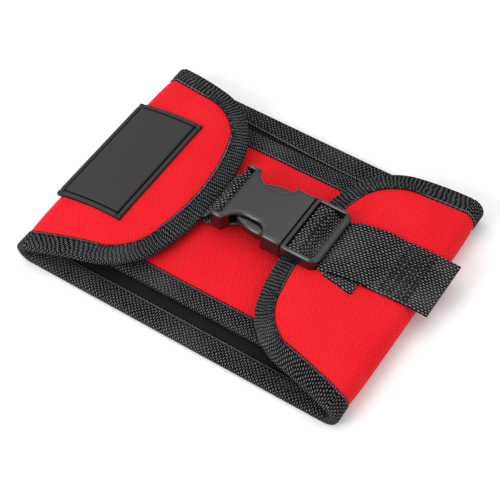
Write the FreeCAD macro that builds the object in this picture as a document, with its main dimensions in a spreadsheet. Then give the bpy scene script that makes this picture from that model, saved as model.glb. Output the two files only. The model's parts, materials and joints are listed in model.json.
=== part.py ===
"""A padded wrist cuff with two folded flaps and a side-release buckle, as a parametric FreeCAD document.

X runs along the cuff, Y across it and Z up. The origin is the centre of the face that lies on the table.
Every piece is one labelled object, and each of them is written to parts/LABEL.step.
"""

import FreeCAD, Part
import math
import os

import Sketcher

LEFT, RIGHT = -1, 1

DIMENSIONS = {
    # the quilted band: two cloth skins with foam between them, bound with tape along its edges
    "band_width": 103.0,
    "band_thickness": 3.2,
    "skin": 0.6,
    "tape_width": 7.6,
    "tape_edge": 0.6,
    # each end of the band rolls over on an axis along Y
    "fold_axis_x": 59.7,
    "fold_radius": 5.3,
    # a flap's side view is one arc, from its fold to its nose
    "flap_arc_radius": 94.0,
    "flap_slope": 14.0,
    # a flap's plan: a wide nose arc, two corner arcs and two edges that run out to the fold
    "nose_x": 15.4,
    "nose_radius": 100.0,
    "corner_radius": 28.0,
    "corner_from": 15.88,
    "corner_to": 78.0,
    # the second padded panel, sewn on the lining between the folds
    "pad_length": 92.0,
    "pad_width": 79.0,
    "pad_thickness": 2.6,
    "pad_tape_width": 7.4,
    # magnet discs sealed in the foam
    "magnet_radius": 6.0,
    "magnet_height": 1.4,
    "magnet_pitch": 24.0,
    # the blank rubber label on the left flap
    "label_width": 51.7,
    "label_shift": -1.35,
    "label_thickness": 1.8,
    "label_from": -0.3,
    "label_to": 16.7,
    # the webbing: its width, its width where it is squeezed through the buckle, and its thickness
    "webbing_width": 24.8,
    "webbing_squeezed": 22.6,
    "webbing": 1.1,
    "webbing_gap": 0.2,
    "tail_lift": 0.35,
    # where the strap runs along X
    "strap_start": 27.5,
    "strap_bar_clear": 31.8,
    "strap_full_width": 34.5,
    "tail_end": 46.0,
    "strap_landing": 52.0,
    "strap_end": 70.5,
    "strap_shift_end": 10.4,
    "tail_shift_end": 1.0,
    # the buckle's centre line, and its heights
    "buckle_y": 3.4,
    "buckle_bottom": 11.0,
    "buckle_top": 18.3,
    "buckle_wall": 1.2,
    "buckle_edge": 1.0,
    # the female half
    "horn_tip": 12.0,
    "horn_half": 13.2,
    "horn_end": 7.0,
    "plate_start": 8.3,
    "mouth": 16.5,
    "sleeve_half": 12.4,
    "sleeve_start": 8.6,
    "waist_half": 7.7,
    "waist_from": 0.6,
    "waist_to": 4.0,
    "cavity_end": 5.5,
    "cavity_half": 11.4,
    "web_bar_x": 10.8,
    "web_bar_z": 14.4,
    "web_bar_radius": 1.2,
    # the male half
    "frame_start": 16.8,
    "frame_end": 31.5,
    "frame_half": 13.0,
    "frame_bottom": 13.4,
    "frame_corner": 3.6,
    "window_start": 18.3,
    "window_end": 28.9,
    "window_half": 11.6,
    "end_bar_bottom": 15.95,
    "ladder_start": 21.7,
    "ladder_end": 24.7,
    "ladder_bottom": 14.3,
    "ladder_top": 16.4,
    "guide_half": 3.0,
    "guide_tip": 1.0,
    "prong_bottom": 12.7,
    "prong_top": 16.6,
    # the two sprung arms
    "arm_root": 16.3,
    "arm_root_outer": 9.6,
    "arm_root_inner": 7.2,
    "arm_shoulder": 7.6,
    "arm_outer": 11.1,
    "arm_tip": 4.0,
    "arm_tip_outer": 8.3,
    "arm_tip_inner": 6.3,
    "arm_grip_radius": 17.0,
}

doc = FreeCAD.newDocument("wrist_cuff")
sheet = doc.addObject("Spreadsheet::Sheet", "dims")
for row, (alias, number) in enumerate(DIMENSIONS.items(), start=1):
    sheet.set(f"A{row}", str(number))
    sheet.setAlias(f"A{row}", alias)
doc.recompute()


class Size:
    """A length or an angle, known as a number and as a formula over the sheet's aliases."""

    def __init__(self, number, formula):
        self.number = number
        self.formula = formula

    def __add__(self, other):
        other = as_size(other)
        return Size(self.number + other.number, f"({self.formula} + {other.formula})")

    def __sub__(self, other):
        other = as_size(other)
        return Size(self.number - other.number, f"({self.formula} - {other.formula})")

    def __mul__(self, other):
        other = as_size(other)
        return Size(self.number * other.number, f"({self.formula} * {other.formula})")

    def __truediv__(self, other):
        other = as_size(other)
        return Size(self.number / other.number, f"({self.formula} / {other.formula})")

    def __neg__(self):
        return self * -1


def as_size(value):
    """A Size stays as it is, and a plain number becomes one."""
    return value if isinstance(value, Size) else Size(float(value), f"({value})")


def dim(alias):
    """The size that the sheet holds under this alias."""
    return Size(float(sheet.get(alias)), f"dims.{alias}")


def sine(angle):
    return Size(math.sin(math.radians(angle.number)), f"sin({angle.formula} * 1 deg)")


def cosine(angle):
    return Size(math.cos(math.radians(angle.number)), f"cos({angle.formula} * 1 deg)")


def root(value):
    return Size(math.sqrt(value.number), f"sqrt({value.formula})")


def bind(thing, name, size):
    thing.setExpression(name, as_size(size).formula)


def place(thing, x=0, y=0, z=0):
    """Puts an object's own origin at x, y, z."""
    for name, size in (("x", x), ("y", y), ("z", z)):
        bind(thing, f"Placement.Base.{name}", size)


def labelled(thing, label):
    thing.Label = label
    return thing


# ---- sketches and the features made from them


def new_body(name):
    return doc.addObject("PartDesign::Body", name)


def new_sketch(body, role, name):
    """An empty sketch on one of the body's own origin planes."""
    sketch = body.newObject("Sketcher::SketchObject", name)
    plane = [f for f in body.Origin.OriginFeatures if f.Role == role][0]
    sketch.AttachmentSupport = [(plane, "")]
    sketch.MapMode = "FlatFace"
    return sketch


def draw(sketch, corners):
    """Draws a closed outline. A corner is (u, v) with a straight edge to the next one, or
    (u, v, radius, (centre_u, centre_v)) with an arc of less than half a turn."""
    first = sketch.GeometryCount
    ends = []
    for index, corner in enumerate(corners):
        following = corners[(index + 1) % len(corners)]
        here = FreeCAD.Vector(as_size(corner[0]).number, as_size(corner[1]).number, 0)
        there = FreeCAD.Vector(as_size(following[0]).number, as_size(following[1]).number, 0)
        if len(corner) == 2:
            sketch.addGeometry(Part.LineSegment(here, there), False)
            ends.append((1, 2))
            continue
        radius, middle = as_size(corner[2]), corner[3]
        centre = FreeCAD.Vector(as_size(middle[0]).number, as_size(middle[1]).number, 0)
        start = math.atan2(here.y - centre.y, here.x - centre.x)
        stop = math.atan2(there.y - centre.y, there.x - centre.x)
        leftwards = (stop - start) % (2 * math.pi) < math.pi
        circle = Part.Circle(centre, FreeCAD.Vector(0, 0, 1), radius.number)
        low, high = (start, stop) if leftwards else (stop, start)
        sketch.addGeometry(Part.ArcOfCircle(circle, low, high), False)
        ends.append((1, 2) if leftwards else (2, 1))
    count = len(corners)
    for index in range(count):
        edge, next_edge = first + index, first + (index + 1) % count
        joined = (edge, ends[index][1], next_edge, ends[(index + 1) % count][0])
        sketch.addConstraint(Sketcher.Constraint("Coincident", *joined))
    for index, corner in enumerate(corners):
        edge, end = first + index, ends[index][0]
        for kind, size in (("DistanceX", corner[0]), ("DistanceY", corner[1])):
            fix(sketch, Sketcher.Constraint(kind, -1, 1, edge, end, as_size(size).number), size)
        if len(corner) > 2:
            fix(sketch, Sketcher.Constraint("Radius", edge, as_size(corner[2]).number), corner[2])


def fix(sketch, constraint, size):
    """Adds a dimension to the sketch and binds it to the sheet."""
    bind(sketch, f"Constraints[{sketch.addConstraint(constraint)}]", size)


def rectangle(u_low, v_low, u_high, v_high):
    return [(u_low, v_low), (u_high, v_low), (u_high, v_high), (u_low, v_high)]


def grow(body, sketch, length, symmetric=False, offset=None):
    """Pads a sketch along its normal, from its plane or from an offset above it."""
    pad = body.newObject("PartDesign::Pad", sketch.Name + "_pad")
    pad.Profile = sketch
    pad.SideType = "Symmetric" if symmetric else "One side"
    bind(pad, "Length", length)
    if offset is not None:
        bind(sketch, ".AttachmentOffset.Base.z", offset)
    doc.recompute()
    return pad


def cut(body, sketch, depth=None, reverse=False):
    """Pockets a sketch, through everything both ways, or to a depth from its plane."""
    before = body.Shape.Volume
    pocket = body.newObject("PartDesign::Pocket", sketch.Name + "_pocket")
    pocket.Profile = sketch
    if depth is None:
        pocket.SideType = "Symmetric"
        pocket.Type = "ThroughAll"
    else:
        pocket.SideType = "One side"
        pocket.Reversed = reverse
        bind(pocket, "Length", depth)
    doc.recompute()
    if body.Shape.Volume >= before - 1e-6:
        raise RuntimeError(f"{sketch.Name} cuts nothing")
    return pocket


def round_edges(body, radius, chosen):
    """Fillets the edges of the body that the test chooses."""
    names = [f"Edge{n}" for n, edge in enumerate(body.Shape.Edges, start=1) if chosen(edge)]
    base = body.Tip
    fillet = body.newObject("PartDesign::Fillet", body.Name + "_fillet")
    fillet.Base = (base, names)
    bind(fillet, "Radius", radius)
    doc.recompute()
    if "Invalid" in fillet.State:
        raise RuntimeError(f"{body.Name} can't be rounded: {names}")
    return fillet


def box(label, low, high):
    """A box between two corners, given as sizes."""
    block = doc.addObject("Part::Box", label)
    for name, start, stop in zip(("Length", "Width", "Height"), low, high):
        bind(block, name, as_size(stop) - start)
    place(block, *low)
    return labelled(block, label)


def difference(label, base, *tools):
    """base without the tools."""
    result = doc.addObject("Part::Cut", label)
    result.Base = base
    result.Tool = tools[0] if len(tools) == 1 else union(label + "_tools", *tools)
    return labelled(result, label)


def union(label, *pieces):
    fused = doc.addObject("Part::MultiFuse", label)
    fused.Shapes = list(pieces)
    return labelled(fused, label)


# ---- shared sizes

HALF_WIDTH = dim("band_width") / 2
SKIN = dim("skin")
LINING_START = dim("band_thickness") - SKIN
CLOTH_HALF = HALF_WIDTH - dim("tape_width")
FOAM_HALF = HALF_WIDTH - dim("tape_edge")
FOLD_Z = dim("fold_radius")
ARC = dim("flap_arc_radius")
SLOPE = dim("flap_slope")
FLAP_START = dim("fold_axis_x") + dim("fold_radius") * sine(SLOPE)
ARC_X = FLAP_START - ARC * sine(SLOPE)
ARC_Z = FOLD_Z + dim("fold_radius") * cosine(SLOPE) - ARC * cosine(SLOPE)
WEBBING = dim("webbing")


def band_layers(inner, outer):
    """The radii of a layer of the flap, from its depths below the outer face."""
    return ARC - inner, ARC - outer


def sector(body_name, side, centre, radii, angles, half_width):
    """A curved slab along Y. Its angles are measured from +Z, outwards."""
    body = new_body(body_name)
    sketch = new_sketch(body, "XZ_Plane", body_name + "_side")
    centre_x, centre_z = centre[0] * side, centre[1]
    middle = (centre_x, centre_z)

    def point(radius, angle):
        return centre_x + radius * sine(angle) * side, centre_z + radius * cosine(angle)

    outer, inner = (as_size(r) for r in radii)
    start, stop = (as_size(a) for a in angles)
    draw(
        sketch,
        [
            (*point(outer, start), outer, middle),
            point(outer, stop),
            (*point(inner, stop), inner, middle),
            point(inner, start),
        ],
    )
    grow(body, sketch, half_width * 2, symmetric=True)
    return body


def flap_outline(side, inset):
    """The flap's plan, drawn in from its outer edge by the inset."""
    nose_radius = dim("nose_radius") - inset
    corner_radius = dim("corner_radius") - inset
    nose_centre = dim("nose_x") + dim("nose_radius")
    reach = dim("nose_radius") - dim("corner_radius")
    corner_x = nose_centre - reach * cosine(dim("corner_from"))
    corner_y = reach * sine(dim("corner_from"))

    def on_corner(angle):
        return corner_x - corner_radius * cosine(angle), corner_y + corner_radius * sine(angle)

    nose_end = on_corner(dim("corner_from"))
    edge_end = on_corner(dim("corner_to"))
    far_x = dim("fold_axis_x") + dim("fold_radius") * 2
    rise = cosine(dim("corner_to")) / sine(dim("corner_to"))
    far_y = edge_end[1] + (far_x - edge_end[0]) * rise
    apex = nose_centre - nose_radius
    nose_middle = (nose_centre * side, 0)
    upper = (corner_x * side, corner_y)
    lower = (corner_x * side, -corner_y)
    return [
        (far_x * side, -far_y),
        (edge_end[0] * side, -edge_end[1], corner_radius, lower),
        (nose_end[0] * side, -nose_end[1], nose_radius, nose_middle),
        (apex * side, 0, nose_radius, nose_middle),
        (nose_end[0] * side, nose_end[1], corner_radius, upper),
        (edge_end[0] * side, edge_end[1]),
        (far_x * side, far_y),
    ]


def trim_to(body, outline):
    """Cuts away everything outside a plan outline."""
    sketch = new_sketch(body, "XY_Plane", body.Name + "_plan")
    beyond = dim("band_width")
    draw(sketch, rectangle(-beyond, -beyond, beyond, beyond))
    draw(sketch, outline)
    cut(body, sketch)
    return body


def flap_slab(name, side, depths, half_width, inset):
    """One layer of a flap: a curved slab trimmed to the plan."""
    slab = sector(name, side, (ARC_X, ARC_Z), band_layers(*depths), (SLOPE, -SLOPE), half_width)
    return trim_to(slab, flap_outline(side, inset))


def discs(label, centres, bottom):
    """Magnet discs standing on a level, as one node of separate solids."""
    made = []
    for number, (x, y) in enumerate(centres, start=1):
        disc = doc.addObject("Part::Cylinder", f"{label}_disc{number}")
        bind(disc, "Radius", dim("magnet_radius"))
        bind(disc, "Height", dim("magnet_height"))
        place(disc, x, y, bottom)
        made.append(disc)
    return union(label, *made)


# ---- the pieces


def make_back():
    """The part of the band that lies flat: outer cloth below, foam, lining above, and two tapes."""
    end = dim("fold_axis_x")
    shell = box("back_shell", (-end, -CLOTH_HALF, 0), (end, CLOTH_HALF, SKIN))
    lining = box(
        "back_lining",
        (-end, -CLOTH_HALF, LINING_START),
        (end, CLOTH_HALF, dim("band_thickness")),
    )
    slab = box("back_foam_slab", (-end, -FOAM_HALF, SKIN), (end, FOAM_HALF, LINING_START))
    pitch = dim("magnet_pitch")
    centres = [(pitch * i, pitch * j) for i in (-1, 0, 1) for j in (-1, 0, 1)]
    magnets = discs("back_magnets", centres, SKIN + (LINING_START - SKIN - dim("magnet_height")) / 2)
    foam = difference("back_foam", slab, magnets)
    pieces = [shell, lining, magnets, foam]
    for name, near, far in (("near", -HALF_WIDTH, -CLOTH_HALF), ("far", CLOTH_HALF, HALF_WIDTH)):
        strip = box(f"back_tape_{name}", (-end, near, 0), (end, far, dim("band_thickness")))
        pieces.append(difference(f"back_binding_{name}", strip, slab))
    return pieces


def make_inner_pad():
    """The bound panel on the lining: backing, foam, red cloth, and a tape along each long edge."""
    end = dim("pad_length") / 2
    half = dim("pad_width") / 2
    cloth = half - dim("pad_tape_width")
    foam_half = half - dim("tape_edge")
    bottom = dim("band_thickness")
    top = bottom + dim("pad_thickness")
    backing = box("inner_pad_backing", (-end, -cloth, bottom), (end, cloth, bottom + SKIN))
    foam = box("inner_pad_foam", (-end, -foam_half, bottom + SKIN), (end, foam_half, top - SKIN))
    shell = box("inner_pad_shell", (-end, -cloth, top - SKIN), (end, cloth, top))
    pieces = [backing, foam, shell]
    for name, near, far in (("near", -half, -cloth), ("far", cloth, half)):
        strip = box(f"inner_tape_{name}", (-end, near, bottom), (end, far, top))
        pieces.append(difference(f"inner_pad_binding_{name}", strip, foam))
    return pieces


def make_fold(side, name):
    """The roll that joins the back to a flap: quilted cloth, and the tape round both of its edges."""
    centre = (dim("fold_axis_x"), FOLD_Z)
    radius = dim("fold_radius")
    thickness = dim("band_thickness")
    angles = (180, SLOPE)
    cloth = sector(
        f"{name}_fold_skins", side, centre, (radius, radius - thickness), angles, CLOTH_HALF
    )
    tongue = sector(
        f"{name}_fold_tongue",
        side,
        centre,
        (radius - SKIN, radius - LINING_START),
        angles,
        FOAM_HALF,
    )
    whole = sector(
        f"{name}_fold_whole", side, centre, (radius, radius - thickness), angles, HALF_WIDTH
    )
    quilt = union(f"{name}_fold_cloth", cloth, tongue)
    return [quilt, difference(f"{name}_fold_binding", whole, quilt)]


def make_flap(side, name):
    """A flap: outer cloth, foam with its magnets, lining, and the tape that runs round its edge."""
    thickness = dim("band_thickness")
    tape = dim("tape_width")
    edge = dim("tape_edge")
    shell = flap_slab(f"{name}_flap_shell", side, (0, SKIN), CLOTH_HALF, tape)
    lining = flap_slab(f"{name}_flap_lining", side, (LINING_START, thickness), CLOTH_HALF, tape)
    slab = flap_slab(f"{name}_flap_slab", side, (SKIN, LINING_START), FOAM_HALF, edge)
    whole = flap_slab(f"{name}_flap_whole", side, (0, thickness), HALF_WIDTH, 0)
    clearance = (LINING_START - SKIN - dim("magnet_height")) / 2
    bottom = ARC_Z + ARC - LINING_START + clearance * 0.5
    pitch = dim("magnet_pitch")
    magnets = discs(f"{name}_flap_magnets", [(ARC_X * side, pitch * j) for j in (-1, 0, 1)], bottom)
    foam = difference(f"{name}_flap_foam", slab, magnets)
    binding = difference(f"{name}_flap_binding", whole, slab, shell, lining)
    for piece, label in ((shell, "shell"), (lining, "lining")):
        labelled(piece, f"{name}_flap_{label}")
    return [shell, lining, magnets, foam, binding]


def make_label():
    """The blank rubber label, bent to the left flap and reaching a little past the roll."""
    angles = (dim("label_to"), dim("label_from"))
    radii = (ARC + dim("label_thickness"), ARC)
    plate = sector("label_patch", LEFT, (ARC_X, ARC_Z), radii, angles, dim("label_width") / 2)
    place(plate, y=dim("label_shift"))
    return [plate]


def height_on_arc(x, radius):
    """The height of an arc about the right flap's centre, at x."""
    run = as_size(x) - ARC_X
    return ARC_Z + root(as_size(radius) * radius - run * run)


def ribbon_plan(start, narrow, wide, end, shift_start, shift_end):
    """A strap's plan: straight and squeezed to the buckle's width up to narrow, then full and slanted."""
    slant = (shift_end - shift_start) / (end - narrow)
    thin = dim("webbing_squeezed") / 2
    full = dim("webbing_width") / 2
    wide_shift = shift_start + slant * (wide - narrow)
    stations = [
        (start, shift_start, thin),
        (narrow, shift_start, thin),
        (wide, wide_shift, full),
        (end, shift_end, full),
    ]
    lower = [(x, shift - half) for x, shift, half in stations]
    upper = [(x, shift + half) for x, shift, half in reversed(stations)]
    return lower + upper


def ribbon(name, profile, plan):
    """Webbing with this side view, trimmed to this plan."""
    body = new_body(name)
    sketch = new_sketch(body, "XZ_Plane", name + "_side")
    draw(sketch, profile)
    grow(body, sketch, dim("band_width"), symmetric=True)
    return labelled(trim_to(body, plan), name)


def make_strap():
    """The webbing on the right flap: sewn stretch, free stretch, tail, and the loop round the bar."""
    middle = (ARC_X, ARC_Z)
    start, end = dim("strap_start"), dim("strap_end")
    landing = dim("strap_landing")
    tail_end = dim("tail_end")
    shift = dim("buckle_y")
    tail_inner = ARC + dim("tail_lift")
    tail_outer = tail_inner + WEBBING
    free_inner = tail_outer + dim("webbing_gap")
    free_outer = free_inner + WEBBING
    sewn_outer = ARC + WEBBING

    def at(x, radius):
        return x, height_on_arc(x, radius)

    narrow, wide = dim("strap_bar_clear"), dim("strap_full_width")
    slant = (dim("strap_shift_end") - shift) / (end - narrow)
    landing_shift = shift + slant * (landing - narrow)
    full = dim("webbing_width") / 2
    end_shift = dim("strap_shift_end")
    sewn = ribbon(
        "strap_sewn",
        [
            (*at(landing, ARC), ARC, middle),
            at(end, ARC),
            (*at(end, sewn_outer), sewn_outer, middle),
            at(landing, sewn_outer),
        ],
        [
            (landing, landing_shift - full),
            (end, end_shift - full),
            (end, end_shift + full),
            (landing, landing_shift + full),
        ],
    )
    free = ribbon(
        "strap_free",
        [
            (*at(start, free_inner), free_inner, middle),
            at(tail_end, free_inner),
            at(landing, ARC),
            at(landing, sewn_outer),
            (*at(tail_end, free_outer), free_outer, middle),
            at(start, free_outer),
        ],
        ribbon_plan(start, narrow, wide, landing, shift, landing_shift),
    )
    tail = ribbon(
        "strap_tail",
        [
            (*at(start, tail_inner), tail_inner, middle),
            at(tail_end, tail_inner),
            (*at(tail_end, tail_outer), tail_outer, middle),
            at(start, tail_outer),
        ],
        ribbon_plan(start, narrow, wide, tail_end, shift, dim("tail_shift_end")),
    )
    gap = dim("webbing_gap")
    over = dim("ladder_top") + gap
    left = dim("ladder_start") - gap - WEBBING
    under = dim("ladder_bottom") - gap
    loop = new_body("strap_loop")
    sketch = new_sketch(loop, "XZ_Plane", "strap_loop_side")
    draw(
        sketch,
        [
            at(start, free_outer),
            (dim("ladder_end") + WEBBING, over + WEBBING),
            (left + WEBBING, over + WEBBING),
            (left, over),
            (left, under - WEBBING),
            (left + gap * 2, height_on_arc(start, tail_inner)),
            at(start, tail_inner),
            at(start, tail_outer),
            (left + WEBBING, under),
            (left + WEBBING, over),
            (dim("ladder_end") + gap, over),
            at(start, free_inner),
        ],
    )
    grow(loop, sketch, dim("webbing_squeezed"), symmetric=True)
    place(loop, y=shift)
    return [sewn, free, tail, labelled(loop, "strap_loop")]


def make_female_webbing():
    """The short loop of webbing from the left flap's nose round the female half's bar."""
    body = new_body("female_webbing")
    sketch = new_sketch(body, "XZ_Plane", "female_webbing_side")
    bar_x, bar_z = -dim("web_bar_x"), dim("web_bar_z")
    radius = dim("web_bar_radius") + WEBBING
    middle = (bar_x, bar_z)
    nose = -(dim("nose_x") - dim("webbing_gap"))
    nose_top = ARC_Z + ARC * cosine(SLOPE) - dim("webbing_gap")

    def point(angle):
        angle = as_size(angle)
        return bar_x + radius * cosine(angle), bar_z + radius * sine(angle)

    draw(
        sketch,
        [
            (nose, nose_top - WEBBING * 2),
            (*point(-60), radius, middle),
            (*point(45), radius, middle),
            point(150),
            (nose, nose_top),
        ],
    )
    grow(body, sketch, dim("webbing_squeezed"), symmetric=True)
    hole = new_sketch(body, "XZ_Plane", "female_webbing_eye")
    sketch_circle(hole, bar_x, bar_z, dim("web_bar_radius") + 0.1)
    cut(body, hole)
    place(body, y=dim("buckle_y"))
    return [labelled(body, "female_webbing")]


def sketch_circle(sketch, u, v, radius):
    centre = FreeCAD.Vector(u.number, v.number, 0)
    circle = sketch.addGeometry(Part.Circle(centre, FreeCAD.Vector(0, 0, 1), radius.number), False)
    fix(sketch, Sketcher.Constraint("DistanceX", -1, 1, circle, 3, u.number), u)
    fix(sketch, Sketcher.Constraint("DistanceY", -1, 1, circle, 3, v.number), v)
    fix(sketch, Sketcher.Constraint("Radius", circle, radius.number), radius)


def female_outline():
    """The female half's plan: two horns, a scallop in each side for a finger, and the sleeve."""
    tip, horn_end = -dim("horn_tip"), -dim("horn_end")
    horn, waist, sleeve = dim("horn_half"), dim("waist_half"), dim("sleeve_half")
    waist_from, waist_to = dim("waist_from"), dim("waist_to")
    sleeve_start, mouth = dim("sleeve_start"), dim("mouth")
    depth, run = horn - waist, waist_from - horn_end
    scoop = (depth * depth + run * run) / (depth * 2)
    rise, width = sleeve - waist, sleeve_start - waist_to
    shoulder = (rise * rise + width * width) / (width * 2)
    upper = [
        (mouth, sleeve),
        (sleeve_start, sleeve, shoulder, (sleeve_start - shoulder, sleeve)),
        (waist_to, waist),
        (waist_from, waist, scoop, (waist_from, waist + scoop)),
        (horn_end, horn),
        (tip + 1, horn),
        (tip, horn - 1),
    ]
    lower = [
        (tip, (horn - 1) * -1),
        (tip + 1, -horn),
        (horn_end, -horn, scoop, (waist_from, -waist - scoop)),
        (waist_from, -waist),
        (waist_to, -waist, shoulder, (sleeve_start - shoulder, -sleeve)),
        (sleeve_start, -sleeve),
        (mouth, -sleeve),
    ]
    return upper + lower


def make_buckle_female():
    """The socket half of the buckle, with a bar between its horns for the short webbing."""
    body = new_body("buckle_female")
    plan = new_sketch(body, "XY_Plane", "female_plan")
    draw(plan, female_outline())
    grow(body, plan, dim("buckle_top") - dim("buckle_bottom"), offset=dim("buckle_bottom"))
    round_edges(
        body,
        dim("buckle_edge"),
        lambda e: all(abs(v.Z - DIMENSIONS["buckle_top"]) < 1e-6 for v in e.Vertexes)
        and min(v.X for v in e.Vertexes) < DIMENSIONS["mouth"] - 0.1,
    )
    notch = new_sketch(body, "XY_Plane", "female_notch")
    half = dim("window_half")
    draw(notch, rectangle(-dim("horn_tip") - 1, -half, -dim("plate_start"), half))
    cut(body, notch)
    cavity = new_sketch(body, "YZ_Plane", "female_cavity")
    low, high = dim("buckle_bottom") + dim("buckle_wall"), dim("buckle_top") - dim("buckle_wall")
    side = dim("cavity_half")
    draw(cavity, rectangle(-side, low, side, high))
    bind(cavity, ".AttachmentOffset.Base.z", dim("mouth") + 1)
    cut(body, cavity, depth=dim("mouth") + 1 + dim("cavity_end"))
    bar = new_sketch(body, "XZ_Plane", "female_bar")
    sketch_circle(bar, -dim("web_bar_x"), dim("web_bar_z"), dim("web_bar_radius"))
    grow(body, bar, half * 2 + 1, symmetric=True)
    place(body, y=dim("buckle_y"))
    return [labelled(body, "buckle_female")]


def make_buckle_male():
    """The plug half: a frame with its window, the ladder bar, and the guide tongue."""
    body = new_body("buckle_male")
    plan = new_sketch(body, "XY_Plane", "male_plan")
    start, end, half = dim("frame_start"), dim("frame_end"), dim("frame_half")
    corner = dim("frame_corner")
    draw(
        plan,
        [
            (start, -half),
            (end - corner, -half, corner, (end - corner, corner - half)),
            (end, corner - half),
            (end, half - corner, corner, (end - corner, half - corner)),
            (end - corner, half),
            (start, half),
        ],
    )
    bottom, top = dim("frame_bottom"), dim("buckle_top")
    grow(body, plan, top - bottom, offset=bottom)
    round_edges(
        body,
        dim("buckle_edge"),
        lambda e: all(abs(v.Z - DIMENSIONS["buckle_top"]) < 1e-6 for v in e.Vertexes)
        and max(v.X for v in e.Vertexes) > DIMENSIONS["frame_start"] + 0.1,
    )
    window = new_sketch(body, "XY_Plane", "male_window")
    opening = dim("window_half")
    draw(window, rectangle(dim("window_start"), -opening, dim("window_end"), opening))
    cut(body, window)
    under = new_sketch(body, "XZ_Plane", "male_under_bar")
    draw(
        under,
        rectangle(dim("window_end") - 1, bottom - 1, end + 1, dim("end_bar_bottom")),
    )
    before = body.Shape.Volume
    passage = body.newObject("PartDesign::Pocket", "male_strap_passage")
    passage.Profile = under
    passage.SideType = "Symmetric"
    bind(passage, "Length", opening * 2)
    doc.recompute()
    if body.Shape.Volume >= before:
        raise RuntimeError("the strap's passage under the end bar isn't cut")
    ladder = new_sketch(body, "XZ_Plane", "male_ladder_bar")
    draw(
        ladder,
        rectangle(dim("ladder_start"), dim("ladder_bottom"), dim("ladder_end"), dim("ladder_top")),
    )
    grow(body, ladder, opening * 2 + 1, symmetric=True)
    tongue = new_sketch(body, "XY_Plane", "male_guide")
    guide, tip = dim("guide_half"), dim("guide_tip")
    draw(
        tongue,
        [
            (tip + 1, -guide),
            (start + 1, -guide),
            (start + 1, guide),
            (tip + 1, guide),
            (tip, guide - 1),
            (tip, (guide - 1) * -1),
        ],
    )
    grow(body, tongue, dim("prong_top") - dim("prong_bottom"), offset=dim("prong_bottom"))
    place(body, y=dim("buckle_y"))
    return [labelled(body, "buckle_male")]


def make_arm(name, side):
    """One sprung arm: a blade from the root to the rounded grip that shows in the scallop."""
    body = new_body(name)
    plan = new_sketch(body, "XY_Plane", name + "_plan")
    shoulder, tip = dim("arm_shoulder"), -dim("arm_tip")
    outer, tip_outer = dim("arm_outer"), dim("arm_tip_outer")
    run, fall = shoulder - tip, outer - tip_outer
    chord = root(run * run + fall * fall)
    grip = dim("arm_grip_radius")
    height = root(grip * grip - chord * chord / 4)
    middle_x = (shoulder + tip) / 2 + fall / chord * height
    middle_y = (outer + tip_outer) / 2 - run / chord * height
    root_x = dim("arm_root")
    draw(
        plan,
        [
            (root_x, dim("arm_root_outer") * side),
            (shoulder + 2, dim("arm_root_outer") * side),
            (shoulder, outer * side, grip, (middle_x, middle_y * side)),
            (tip, tip_outer * side),
            (tip, dim("arm_tip_inner") * side),
            (shoulder, (dim("arm_root_inner") + 0.6) * side),
            (root_x, dim("arm_root_inner") * side),
        ],
    )
    grow(body, plan, dim("prong_top") - dim("prong_bottom"), offset=dim("prong_bottom"))
    place(body, y=dim("buckle_y"))
    return [labelled(body, name)]


def make_all():
    nodes = make_back() + make_inner_pad()
    for side, name in ((LEFT, "left"), (RIGHT, "right")):
        nodes += make_fold(side, name)
        nodes += make_flap(side, name)
    nodes += make_label() + make_strap() + make_female_webbing()
    nodes += make_buckle_female() + make_buckle_male()
    nodes += make_arm("arm_near", -1) + make_arm("arm_far", 1)
    return nodes


def check(nodes):
    """Stops if any object failed, or if any piece is empty or isn't valid."""
    for thing in doc.Objects:
        if "Invalid" in thing.State or "Error" in thing.State:
            raise RuntimeError(f"{thing.Label} didn't compute: {thing.State}")
    for node in nodes:
        shape = node.Shape
        if shape.isNull() or not shape.isValid() or not shape.Solids:
            raise RuntimeError(f"{node.Label} has no valid solid")


all_nodes = make_all()
doc.recompute()
check(all_nodes)
os.makedirs("parts", exist_ok=True)
for node in all_nodes:
    node.Shape.exportStep(f"parts/{node.Label}.step")
    size = node.Shape.BoundBox
    print(f"{node.Label}: {size.XLength:.1f} x {size.YLength:.1f} x {size.ZLength:.1f} mm")
print(len(all_nodes), "nodes")
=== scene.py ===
import json
import math

import bpy
import numpy as np
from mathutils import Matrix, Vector, noise


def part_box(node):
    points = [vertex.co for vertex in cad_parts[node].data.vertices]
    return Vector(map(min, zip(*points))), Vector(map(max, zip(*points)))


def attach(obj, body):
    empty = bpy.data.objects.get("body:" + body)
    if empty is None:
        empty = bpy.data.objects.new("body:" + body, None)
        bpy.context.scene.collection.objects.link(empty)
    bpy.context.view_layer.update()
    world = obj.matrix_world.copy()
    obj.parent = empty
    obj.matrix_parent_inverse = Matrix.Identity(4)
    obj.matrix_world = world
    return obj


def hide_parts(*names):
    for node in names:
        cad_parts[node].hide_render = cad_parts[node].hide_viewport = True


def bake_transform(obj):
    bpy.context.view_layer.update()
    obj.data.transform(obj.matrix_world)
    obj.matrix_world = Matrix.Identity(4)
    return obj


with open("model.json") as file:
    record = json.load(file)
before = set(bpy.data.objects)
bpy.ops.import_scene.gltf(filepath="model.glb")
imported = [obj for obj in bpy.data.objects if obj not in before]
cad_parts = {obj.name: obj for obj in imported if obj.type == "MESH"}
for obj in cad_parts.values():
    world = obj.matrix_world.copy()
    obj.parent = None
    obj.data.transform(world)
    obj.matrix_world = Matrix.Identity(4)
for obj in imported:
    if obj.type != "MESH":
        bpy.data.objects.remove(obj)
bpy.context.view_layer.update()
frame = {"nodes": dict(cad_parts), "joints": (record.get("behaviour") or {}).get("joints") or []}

# Lengths are in millimetres, and become metres where a mesh is made.
MM = 0.001
LEFT, RIGHT = -1, 1
SIDES = ((LEFT, "left"), (RIGHT, "right"))


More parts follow.
